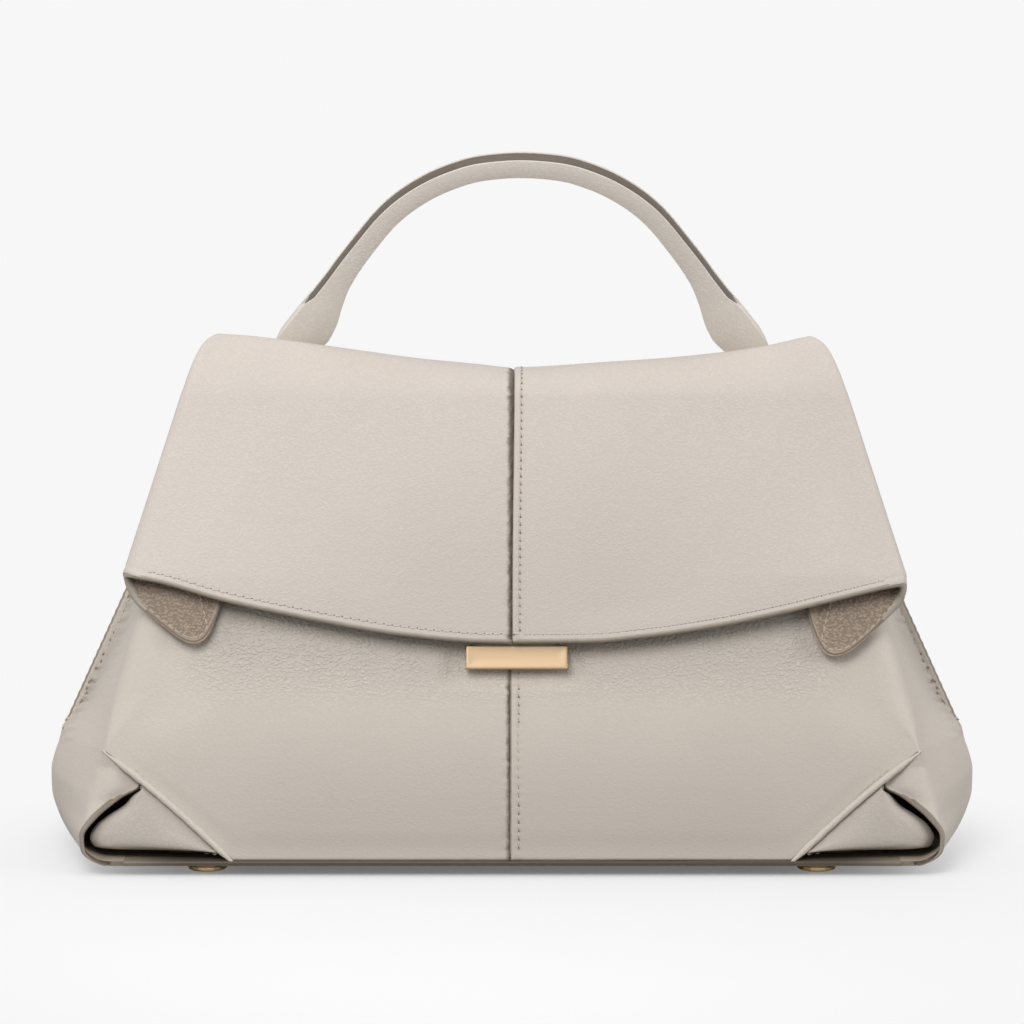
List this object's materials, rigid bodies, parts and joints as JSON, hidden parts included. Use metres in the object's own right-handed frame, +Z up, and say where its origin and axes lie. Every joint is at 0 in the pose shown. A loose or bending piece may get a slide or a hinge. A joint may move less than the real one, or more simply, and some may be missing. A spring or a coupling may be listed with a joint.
{
  "type": "top handle bag",
  "caption": "Structured leather top handle bag with a fold-over flap, folded side wings, tucked lower corners, a press-bar lock and a single arched handle.",
  "frame": {"origin": "on the ground under the middle of the bag's overall box", "axes": "+X along the bag's width, to the right for someone who faces its front; +Y to the back; +Z up. The flap and the lock face -Y."},
  "size_m": [0.3632, 0.15, 0.2696],
  "materials": {
    "outer_leather": "finely pebbled grain, satin, pale warm greige",
    "inner_leather": "grained lining leather, matt, greige",
    "lining_cloth": "plain woven lining cloth, taupe",
    "edge_filler": "painted and burnished edge, taupe",
    "stiffener_board": "plain bonded leather board, hidden",
    "gold_metal": "satin pale gold plating",
    "plain_metal": "plain nickel plating, hidden"
  },
  "bodies": {
    "bag_body": {"back_facing": "inner_leather", "back_panel_left": "outer_leather", "back_panel_right": "outer_leather", "base_board": "stiffener_board", "base_panel": "outer_leather", "corner_fold_back_left": "outer_leather", "corner_fold_back_right": "outer_leather", "corner_fold_front_left": "outer_leather", "corner_fold_front_right": "outer_leather", "corner_seam_back_left": "outer_leather", "corner_seam_back_right": "outer_leather", "corner_seam_front_left": "outer_leather", "corner_seam_front_right": "outer_leather", "crest_board": "stiffener_board", "crest_left": "outer_leather", "crest_right": "outer_leather", "foot_back_left": "gold_metal", "foot_back_right": "gold_metal", "foot_front_left": "gold_metal", "foot_front_right": "gold_metal", "foot_nut_back_left": "plain_metal", "foot_nut_back_right": "plain_metal", "foot_nut_front_left": "plain_metal", "foot_nut_front_right": "plain_metal", "front_panel_left": "outer_leather", "front_panel_right": "outer_leather", "handle_patch_left": "stiffener_board", "handle_patch_right": "stiffener_board", "handle_tab_left": "outer_leather", "handle_tab_right": "outer_leather", "inner_pocket": "lining_cloth", "lining": "lining_cloth", "lock_case": "plain_metal", "lock_plate": "plain_metal", "lock_screw_left": "plain_metal", "lock_screw_right": "plain_metal", "lock_spring": "plain_metal", "side_seam_left": "outer_leather", "side_seam_right": "outer_leather", "side_wrap_left": "outer_leather", "side_wrap_right": "outer_leather"},
    "flap": {"flap_left": "outer_leather", "flap_right": "outer_leather", "flap_lining": "inner_leather", "lock_strike": "gold_metal"},
    "handle": {"handle_front": "outer_leather", "handle_core": "edge_filler", "handle_back": "outer_leather"},
    "press_bar": {"lock_bar": "gold_metal"}
  },
  "joints": [
    {"name": "flap_swing", "type": "hinge", "parent": "bag_body", "child": "flap", "pos_m": [0, -0.0186, 0.176], "axis": [-1, 0, 0], "range_deg": [0, 140]},
    {"name": "handle_swing", "type": "hinge", "parent": "bag_body", "child": "handle", "pos_m": [0.0035, 0.02409, 0.178], "axis": [-1, 0, 0], "range_deg": [0, 65]},
    {"name": "bar_press", "type": "slide", "parent": "bag_body", "child": "press_bar", "axis": [0, 0.9483, -0.3173], "range_m": [0, 0.0006], "stiffness_N_per_m": 400, "deforming": ["lock_spring"]}
  ]
}
